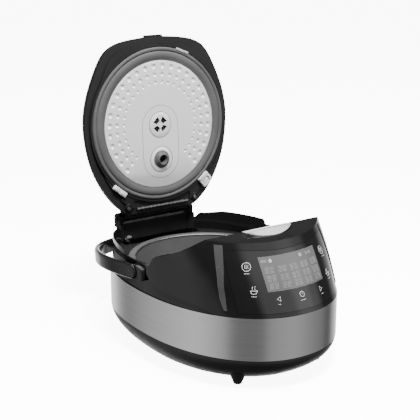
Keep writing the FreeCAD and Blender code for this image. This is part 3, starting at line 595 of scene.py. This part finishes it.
def bowl_mark():
    parts = [flat_ring(0.0046, 0.0007, 0.0, 0.0, 0.5)]
    parts.append(flat_bar(0.0112, 0.0009))
    for x in (-0.002, 0.0015):
        parts.append(flat_bar(0.0006, 0.0030, x, 0.0030, 0.3))
        parts.append(flat_bar(0.0006, 0.0026, x + 0.0002, 0.0054, -0.35))
    return parts + label_line(-0.0080)


def arrow_mark(way):
    parts = []
    points = [(-0.0030 * way, 0.0), (0.0022 * way, 0.0034), (0.0022 * way, -0.0034)]
    for (x0, y0), (x1, y1) in zip(points, points[1:] + points[:1]):
        length = math.hypot(x1 - x0, y1 - y0)
        lean = math.atan2(y1 - y0, x1 - x0)
        parts.append(flat_bar(length + 0.0005, 0.0006, (x0 + x1) / 2, (y0 + y1) / 2, lean))
    return parts + label_line(-0.0075, 2)


def clock_mark():
    parts = [flat_ring(0.0038, 0.0006), flat_bar(0.0005, 0.0026, 0.0, 0.0011)]
    parts.append(flat_bar(0.0022, 0.0005, 0.0009, 0.0))
    return parts + label_line(-0.0082, 5)


for side, end in SIDES:
    mark(heat_ring_mark(), "heat_key_" + end, side * 0.0674, 0.1768, print_white)
    mark(bowl_mark(), "bowl_key_" + end, side * 0.0668, 0.1465, print_white)
    mark(arrow_mark(-side), "arrow_key_" + end, side * 0.0378, 0.1345, print_white)
mark(clock_mark(), "clock_key", -0.0005, 0.1355, print_white)

FIELD_COLUMNS = 5
FIELD_PITCH = 0.0196
FIELD_HEIGHTS = (0.1705, 0.1602, 0.1508)


def cell_block(columns, rows, width, tall):
    """Fine segments of one field of the display."""
    parts = []
    for column in range(columns):
        for row in range(rows):
            x = (column - (columns - 1) / 2) * width / columns
            y = (row - (rows - 1) / 2) * tall / rows
            parts.append(flat_bar(width / columns * 0.80, 0.0009, x, y))
    return parts


def timer_mark():
    return [flat_ring(0.0023, 0.0006), flat_bar(0.0007, 0.0030)]


def keep_warm_mark():
    return [flat_ring(0.0020, 0.0007), flat_bar(0.0018, 0.0022), flat_bar(0.0007, 0.0022, 0.0, 0.0028)]


for column in range(FIELD_COLUMNS):
    x = (column - (FIELD_COLUMNS - 1) / 2) * FIELD_PITCH
    for row, z in enumerate(FIELD_HEIGHTS):
        mark(cell_block(2, 5, 0.0150, 0.0095), "field_%d_%d" % (column, row), x, z, segment_grey)
mark(cell_block(1, 3, 0.0100, 0.0040), "field_top_left", -0.0435, 0.1822, segment_grey)
mark(cell_block(2, 3, 0.0130, 0.0040), "field_top_right", 0.0340, 0.1822, segment_grey)
mark(timer_mark(), "timer_sign", 0.0175, 0.1824, print_white)
mark(keep_warm_mark(), "keep_warm_sign", -0.0340, 0.1819, print_white)

# ---------------------------------------------------------------- nose edge strips, lighter grey as painted highlight, and release button


def refined_copy(node):
    """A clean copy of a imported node's mesh, its loose triangles joined."""
    piece = nodes[node].copy()
    piece.data = nodes[node].data.copy()
    piece.parent = None
    for key in list(piece.keys()):
        if key.startswith("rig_"):
            del piece[key]
    bpy.context.scene.collection.objects.link(piece)
    only(piece)
    bpy.ops.object.mode_set(mode="EDIT")
    bpy.ops.mesh.select_all(action="SELECT")
    bpy.ops.mesh.remove_doubles(threshold=0.00001)
    bpy.ops.mesh.customdata_custom_splitnormals_clear()
    done()
    return piece


# stations down the strip: height, outer and inner distance from the middle
STRIP_STATIONS = ((0.2050, 0.0960, 0.0865), (0.1820, 0.0995, 0.0910), (0.1520, 0.1030, 0.0970),
                 (0.1330, 0.1040, 0.0985), (0.1185, 0.1024, 0.0996))
STRIP_STEPS = 6
STRIP_COLUMNS = 8
STRIP_LIFT = 0.0013
STRIP_THICK = 0.0018
# a line that lands this much deeper than the one before it has fallen into the panel's pocket
POCKET_DROP = 0.003


def make_nose_edge(side, end):
    """Raised strip down one corner of the nose, lighter grey than the housing: a painted highlight
    along the corner's bevel.
    """
    rows = []
    for (z0, out0, in0), (z1, out1, in1) in zip(STRIP_STATIONS, STRIP_STATIONS[1:]):
        for step in range(STRIP_STEPS):
            share = step / STRIP_STEPS
            rows.append((z0 + (z1 - z0) * share, out0 + (out1 - out0) * share,
                         in0 + (in1 - in0) * share))
    rows.append(STRIP_STATIONS[-1])
    clear_selection()
    bpy.ops.mesh.primitive_grid_add(x_subdivisions=STRIP_COLUMNS, y_subdivisions=len(rows) - 1, size=1.0)
    strip = bpy.context.object
    outward = Vector((side * 0.69, -0.64, 0.33)).normalized()
    for index, corner in enumerate(strip.data.vertices):
        row, column = divmod(index, STRIP_COLUMNS + 1)
        z, outer, inner = rows[row]
        x = side * (outer + (inner - outer) * column / STRIP_COLUMNS)
        place, _ = on_skin(["front_housing", "control_panel"], x, z)
        if column > 0 and place.y > last.y + POCKET_DROP:
            place = Vector((x, last.y - abs(x - last.x) * 0.95, z))
        last = place
        corner.co = place + outward * STRIP_LIFT
    apply_modifier(strip, "SMOOTH", factor=0.5, iterations=2)
    if strip.data.polygons[0].normal.dot(outward) < 0:
        pick(strip, "FACE", lambda face: True)
        bpy.ops.mesh.flip_normals()
        done()
    apply_modifier(strip, "SOLIDIFY", thickness=STRIP_THICK, offset=-1.0)
    finish_piece(strip, "nose_edge_" + end, "body", edge_highlight_grey, 40.0)


for side, end in SIDES:
    make_nose_edge(side, end)

# the key's crest lies this far behind its front edge; slopes are rise over length
CREST_BACK = 0.0165
FRONT_SLOPE = 0.26
LIP_SLOPE = 0.38
KEY_HALF_WIDTH = 0.041


def make_button():
    """Plated key: its front face falls towards the panel and a curved lip rises behind the crest."""
    low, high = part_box("release_button")
    crest = low.y + CREST_BACK
    key = refined_copy("release_button")
    bpy.ops.object.mode_set(mode="EDIT")
    bpy.ops.mesh.select_all(action="SELECT")
    bpy.ops.mesh.dissolve_limited(angle_limit=math.radians(1.0))
    bpy.ops.mesh.select_all(action="SELECT")
    bpy.ops.mesh.bisect(plane_co=(0.0, crest, 0.0), plane_no=(0.0, 1.0, 0.0))
    for step in range(-3, 4):
        bpy.ops.mesh.select_all(action="SELECT")
        bpy.ops.mesh.bisect(plane_co=(step * 0.010, crest, 0.0), plane_no=(1.0, 0.0, 0.0))
    done()
    for corner in key.data.vertices:
        if corner.co.z > high.z - 0.0005:
            bow = (corner.co.x / KEY_HALF_WIDTH) ** 2
            slope = FRONT_SLOPE if corner.co.y < crest else LIP_SLOPE * (1.0 - bow)
            corner.co.z = corner.co.z + (corner.co.y - crest) * slope - 0.0006 * bow
    soften(key, 0.0005, 8.0, 3)
    finish_piece(key, "plated_release_key", "release_button", chrome, 30.0)
    # large faces keep their own direction, so that only the rounded edges shade softly
    apply_modifier(key, "WEIGHTED_NORMAL", keep_sharp=True, weight=80)
    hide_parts("release_button")


make_button()


def compressing_spring(node):
    """A copy of an imported spring with its own mesh, in place of the imported node."""
    spring = refined_copy(node)
    finish_piece(spring, node + "_coil", "body", zinc, 60.0)
    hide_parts(node)
    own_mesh(spring)


compressing_spring("button_spring")
compressing_spring("sensor_spring")

# ---------------------------------------------------------------- pot rim, handle ends, walls


def make_rim_bead():
    """Bright rolled edge round the mouth of the pot."""
    outline = []
    for step in range(10):
        angle = math.tau * step / 10
        outline.append((0.1112 + 0.0009 * math.cos(angle), 0.1297 + 0.0007 * math.sin(angle)))
    bead = turned_ring(outline, 0.0, POT_Y, 160)
    finish_piece(bead, "pot_rim_bead", "inner_pot", bead_steel, 60.0)


def make_handle_grip():
    """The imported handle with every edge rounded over."""
    grip = refined_copy("carry_handle")
    apply_modifier(grip, "REMESH", mode="VOXEL", voxel_size=0.0011)
    apply_modifier(grip, "SMOOTH", factor=0.5, iterations=14)
    finish_piece(grip, "rounded_carry_handle", "carry_handle", gloss_black, 60.0)
    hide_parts("carry_handle")


make_rim_bead()
make_handle_grip()

PIVOT_Y = 0.015 - ORIGIN_BACK
PIVOT_Z = 0.138
BOSS_RADIUS = 0.0119


def make_pivot_block(side, end):
    """Block in front of the handle's end, hollowed round the pivot."""
    inner, outer = 0.1405 * side, 0.1492 * side
    nose_y = PIVOT_Y - 0.02
    block = brick(min(inner, outer), max(inner, outer), PIVOT_Y - 0.0285, PIVOT_Y - 0.004,
                  PIVOT_Z - 0.0115, PIVOT_Z + 0.0125)
    pick(block, "VERT", lambda co: co.y < nose_y)
    bpy.ops.transform.resize(value=(1.0, 1.0, 0.8), center_override=(0.0, PIVOT_Y, PIVOT_Z + 0.002))
    done()
    pick(block, "EDGE", lambda co: co.y < nose_y)
    bpy.ops.mesh.bevel(offset=0.006, segments=5, affect="EDGES")
    done()
    tool = drum(BOSS_RADIUS, 0.12, 0.16, 0.0, 0.0)
    turn_mesh(tool, QUARTER, "Y", (0.0, 0.0, 0.14), (side * 0.150, PIVOT_Y, PIVOT_Z - 0.14))
    carve(block, tool)
    soften(block, 0.0012, 40.0, 3)
    finish_piece(block, "pivot_block_" + end, "body", gloss_black, 30.0)
    return block


def make_pivot_cap(side, end):
    """Small cap with a raised middle over the end of the pivot pin."""
    cap = drum(0.0050, 0.0, 0.0011, 0.0, 0.0, 40)
    pick(cap, "FACE", lambda face: face.normal.z > 0.9)
    bpy.ops.mesh.inset(thickness=0.0016)
    bpy.ops.transform.translate(value=(0.0, 0.0, 0.0004))
    done()
    soften(cap, 0.0002, 30.0)
    turn_mesh(cap, -side * QUARTER, "Y", shift=(side * 0.1510, PIVOT_Y, PIVOT_Z))
    finish_piece(cap, "pivot_cap_" + end, "carry_handle", gloss_black, 30.0)


for side, end in SIDES:
    block = make_pivot_block(side, end)
    if side < 0:
        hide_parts("pivot_seats")
    make_pivot_cap(side, end)

# ---------------------------------------------------------------- clips, neck bar, hinge
CLIP_TURN = math.radians(50.9)


def clip_piece(side):
    """Clip made along Y, turned about the plate; the left is slim, the right has a window."""
    if side < 0:
        body = brick(-0.0140, 0.0140, 0.1252, 0.1335, 0.1318, 0.1362)
        soften(body, 0.0014, 30.0, 3)
        pad = brick(-0.0125, -0.0030, 0.1262, 0.1322, 0.1305, 0.1330)
        lip = brick(0.0010, 0.0128, 0.1268, 0.1316, 0.1310, 0.1330)
        soften(pad, 0.0007, 30.0, 2)
        soften(lip, 0.0007, 30.0, 2)
    else:
        body = brick(-0.0108, 0.0108, 0.1235, 0.1420, 0.1290, 0.1362)
        soften(body, 0.0014, 30.0, 3)
        window = brick(-0.0070, 0.0070, 0.1290, 0.1396, 0.1270, 0.1316)
        soften(window, 0.0008, 30.0, 2)
        carve(body, window)
        pad = brick(-0.0056, 0.0056, 0.1302, 0.1386, 0.1304, 0.1330)
        soften(pad, 0.0006, 30.0, 2)
        lip = brick(-0.0095, 0.0095, 0.1222, 0.1264, 0.1280, 0.1306)
        soften(lip, 0.0006, 30.0, 2)
    clip = join([body, pad, lip])
    turn_mesh(clip, side * (QUARTER - CLIP_TURN), "Z", shift=(0.0, POT_Y, 0.0))
    return lid_opened(clip)


for side, end in SIDES:
    clip = clip_piece(side)
    finish_piece(clip, "lid_clip_" + end, "clip_" + end, white_plastic)
    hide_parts("clip_" + end)

RIB_COUNT = 13
RIB_PITCH = 0.0078


def make_neck_bar():
    """Ribbed stiffening bar across the lid's neck."""
    bar = brick(-0.050, 0.050, 0.1532, 0.1552, 0.1346, 0.1385)
    soften(bar, 0.0005, 30.0, 2)
    parts = [bar]
    for step in range(RIB_COUNT):
        x = (step - (RIB_COUNT - 1) / 2) * RIB_PITCH
        rib = brick(x - 0.0007, x + 0.0007, 0.1526, 0.1558, 0.1340, 0.1384)
        soften(rib, 0.0003, 30.0, 1)
        parts.append(rib)
    neck = lid_opened(join(parts))
    finish_piece(neck, "neck_rib_bar", "lid", rib_grey)


def make_screw_cup(side, end):
    """Collar round one screw at the foot of the lid."""
    outline = [(0.0030, 0.1388), (0.0030, 0.1352), (0.0036, 0.1346), (0.0056, 0.1346),
               (0.0062, 0.1352), (0.0064, 0.1388)]
    cup = lid_opened(turned_ring(outline, side * 0.065, 0.167 - ORIGIN_BACK, 40))
    finish_piece(cup, "screw_cup_" + end, "lid", lid_grey, 40.0)


def lay_along_hinge(piece, x, y, z):
    """Turns a piece made round the upright axis so that it lies along X, with its foot at x, y, z."""
    return turn_mesh(piece, -QUARTER, "Y", shift=(x, y, z))


def make_hinge_barrel():
    """Sleeve over the springs, with a flange at each end and shallow grooves."""
    outline = [(0.0060, -0.0628), (0.0074, -0.0628), (0.0076, -0.0620), (0.0076, -0.0600),
               (0.0072, -0.0596)]
    for groove in (-0.030, 0.0, 0.030):
        outline += [(0.0072, groove - 0.0012), (0.0069, groove - 0.0008), (0.0069, groove + 0.0008),
                    (0.0072, groove + 0.0012)]
    outline += [(0.0072, 0.0596), (0.0076, 0.0600), (0.0076, 0.0620), (0.0074, 0.0628),
                (0.0060, 0.0628)]
    barrel = turned_ring(outline, 0.0, 0.0, 48)
    lay_along_hinge(barrel, 0.0, HINGE_LINE[1], HINGE_LINE[2])
    finish_piece(barrel, "hinge_barrel", "lid", matte_black, 40.0)


SPRING_PLACE = (-0.0620, 0.1600, 0.1328)
SPRING_RADIUS = 0.0045
WIRE_RADIUS = 0.0007
COIL_COUNT = 5
COIL_PITCH = 0.0016
LEG_LENGTH = 0.010


def make_hinge_spring():
    """Torsion spring in front of the hinge block: its coils and a leg."""
    coils = []
    for step in range(COIL_COUNT):
        ring = []
        for part in range(8):
            angle = math.tau * part / 8
            ring.append((SPRING_RADIUS + WIRE_RADIUS * math.cos(angle),
                         step * COIL_PITCH + WIRE_RADIUS * math.sin(angle)))
        coils.append(turned_ring(ring, 0.0, 0.0, 40))
    leg = drum(WIRE_RADIUS, 0.0, LEG_LENGTH, 0.0, 0.0, 12)
    turn_mesh(leg, QUARTER, "X")
    leg_low = min(corner.co.y for corner in leg.data.vertices)
    pick(leg, "VERT", lambda co: True)
    bpy.ops.transform.translate(value=(SPRING_RADIUS, -leg_low - LEG_LENGTH, 0.0))
    done()
    spring = lay_along_hinge(join(coils + [leg]), *SPRING_PLACE)
    finish_piece(spring, "hinge_torsion_spring", "body", zinc, 40.0)


make_neck_bar()
for side, end in SIDES:
    make_screw_cup(side, end)
make_hinge_barrel()
make_hinge_spring()

# ---------------------------------------------------------------- floor, light and camera
FLOOR_SIZE = 60.0
FLOOR_GLOW = 9.0


def make_floor():
    """A plain pale floor that glows a little, and is seen by the camera but not in the gloss."""
    clear_selection()
    bpy.ops.mesh.primitive_plane_add(size=FLOOR_SIZE, location=ORIGIN)
    floor = bpy.context.object
    floor.name = "floor"
    paper = new_finish("pale_paper", grey(0.86), 0.7)
    vary_colour(paper, grain(paper, 3.0), grey(0.85), grey(0.87))
    shader = paper.node_tree.nodes["Principled BSDF"]
    shader.inputs["Emission Color"].default_value = (1.0, 1.0, 1.0, 1.0)
    shader.inputs["Emission Strength"].default_value = FLOOR_GLOW
    floor.data.materials.append(paper)
    floor.visible_glossy = False
    floor.visible_diffuse = False


# brightness round the tent: degrees from the front, grey
LOWER_TENT = ((-180, 0.9), (-172, 0.33), (-158, 0.13), (-140, 0.36), (-100, 0.52), (-75, 0.34),
              (-64, 0.12), (-28, 0.12), (-14, 0.26), (20, 0.30), (60, 0.17), (88, 0.05), (105, 0.4),
              (130, 1.4), (180, 0.9))
UPPER_TENT = ((-180, 0.05), (-120, 0.18), (-70, 0.03), (-32, 0.03), (-14, 0.55), (24, 0.6),
              (37, 1.0), (46, 1.0), (58, 0.55), (72, 0.04), (180, 0.05))
ROOF_TENT = ((-180, 0.9), (-110, 0.7), (-75, 0.1), (-32, 0.1), (-12, 0.7), (30, 0.8), (60, 0.7),
             (74, 0.05), (112, 0.05), (124, 1.0), (180, 0.9))
GROUND_TENT = ((-180, 0.05), (0, 0.04), (180, 0.05))
TENT_STRENGTH = 2.2

# heights, from straight down at -1 to straight up at 1, over which one part fades into the next
GROUND_FADE = (-0.85, -0.6)
WALL_FADE = (0.0, 0.22)
ROOF_FADE = (0.48, 0.70)


def tent_ramp(tree, angle, stops):
    """Brightness of the tent wall round the object; stops are (degrees from the front, grey)."""
    ramp = tree.nodes.new("ShaderNodeValToRGB")
    ramp.color_ramp.interpolation = "EASE"
    marks = ramp.color_ramp.elements
    marks[0].position = 0.0
    marks[1].position = 1.0
    marks[0].color = (*grey(stops[0][1]), 1.0)
    marks[1].color = (*grey(stops[-1][1]), 1.0)
    for degrees, value in stops[1:-1]:
        marks.new((degrees + 180.0) / 360.0).color = (*grey(value), 1.0)
    tree.links.new(angle, ramp.inputs["Fac"])
    return ramp.outputs["Color"]


def blend_by_height(tree, height, fade, below, above):
    """One part of the tent fading into another between two heights."""
    low, high = fade
    share = tree.nodes.new("ShaderNodeMapRange")
    share.interpolation_type = "SMOOTHSTEP"
    share.inputs["From Min"].default_value = low
    share.inputs["From Max"].default_value = high
    tree.links.new(height, share.inputs["Value"])
    blend = tree.nodes.new("ShaderNodeMix")
    blend.data_type = "RGBA"
    tree.links.new(share.outputs["Result"], blend.inputs["Factor"])
    tree.links.new(below, blend.inputs["A"])
    tree.links.new(above, blend.inputs["B"])
    return blend.outputs["Result"]


def make_tent():
    """A white tent with a dark gap behind the viewer and a broad soft panel at the front right."""
    world = bpy.data.worlds.new("studio_tent")
    world.use_nodes = True
    tree = world.node_tree
    place = tree.nodes.new("ShaderNodeTexCoord")
    parts = tree.nodes.new("ShaderNodeSeparateXYZ")
    tree.links.new(place.outputs["Generated"], parts.inputs["Vector"])
    front = tree.nodes.new("ShaderNodeMath")
    front.operation = "MULTIPLY"
    front.inputs[1].default_value = -1.0
    tree.links.new(parts.outputs["Y"], front.inputs[0])
    angle = tree.nodes.new("ShaderNodeMath")
    angle.operation = "ARCTAN2"
    tree.links.new(parts.outputs["X"], angle.inputs[0])
    tree.links.new(front.outputs["Value"], angle.inputs[1])
    share = tree.nodes.new("ShaderNodeMath")
    share.operation = "MULTIPLY_ADD"
    share.inputs[1].default_value = 1.0 / math.tau
    share.inputs[2].default_value = 0.5
    tree.links.new(angle.outputs["Value"], share.inputs[0])
    lower = tent_ramp(tree, share.outputs["Value"], LOWER_TENT)
    upper = tent_ramp(tree, share.outputs["Value"], UPPER_TENT)
    roof = tent_ramp(tree, share.outputs["Value"], ROOF_TENT)
    ground = tent_ramp(tree, share.outputs["Value"], GROUND_TENT)
    wall = blend_by_height(tree, parts.outputs["Z"], WALL_FADE, lower, upper)
    closed = blend_by_height(tree, parts.outputs["Z"], ROOF_FADE, wall, roof)
    whole = blend_by_height(tree, parts.outputs["Z"], GROUND_FADE, ground, closed)
    tree.links.new(whole, tree.nodes["Background"].inputs["Color"])
    tree.nodes["Background"].inputs["Strength"].default_value = TENT_STRENGTH
    bpy.context.scene.world = world


def soft_light(name, place, aim, wide, tall, power):
    clear_selection()
    bpy.ops.object.light_add(type="AREA", location=place)
    lamp = bpy.context.object
    lamp.name = name
    lamp.data.shape = "RECTANGLE"
    lamp.data.size = wide
    lamp.data.size_y = tall
    lamp.data.energy = power
    lamp.rotation_euler = (Vector(aim) - Vector(place)).to_track_quat("-Z", "Y").to_euler()
    return lamp


# where the camera stands, which way round and how far down it looks, in degrees
CAMERA_PLACE = (-0.8588, -1.2108, 0.6225)
CAMERA_TURN = 35.166
CAMERA_TILT = 15.614
CAMERA_LENS = 85.57


def make_camera():
    turn = math.radians(CAMERA_TURN)
    tilt = math.radians(CAMERA_TILT)
    right = Vector((math.cos(turn), -math.sin(turn), 0.0))
    back = Vector((-math.sin(turn) * math.cos(tilt), -math.cos(turn) * math.cos(tilt), math.sin(tilt)))
    up = back.cross(right)
    clear_selection()
    bpy.ops.object.camera_add()
    camera = bpy.context.object
    camera.name = "camera"
    camera.data.lens = CAMERA_LENS
    camera.data.sensor_width = 36.0
    camera.data.clip_end = 30.0
    facing = Matrix((right, up, back)).transposed().to_4x4()
    camera.matrix_world = Matrix.Translation(CAMERA_PLACE) @ facing
    bpy.context.scene.camera = camera


make_floor()
make_tent()
soft_light("top_softbox", (0.2, -0.3, 2.4), (0.0, 0.0, 0.2), 1.8, 1.8, 60.0)
lid_lamp = soft_light("lid_softbox", (-0.35, -0.8, 2.0), (0.0, 0.1, 0.33), 0.35, 0.35, 190.0)
lid_lamp.visible_glossy = False
make_camera()
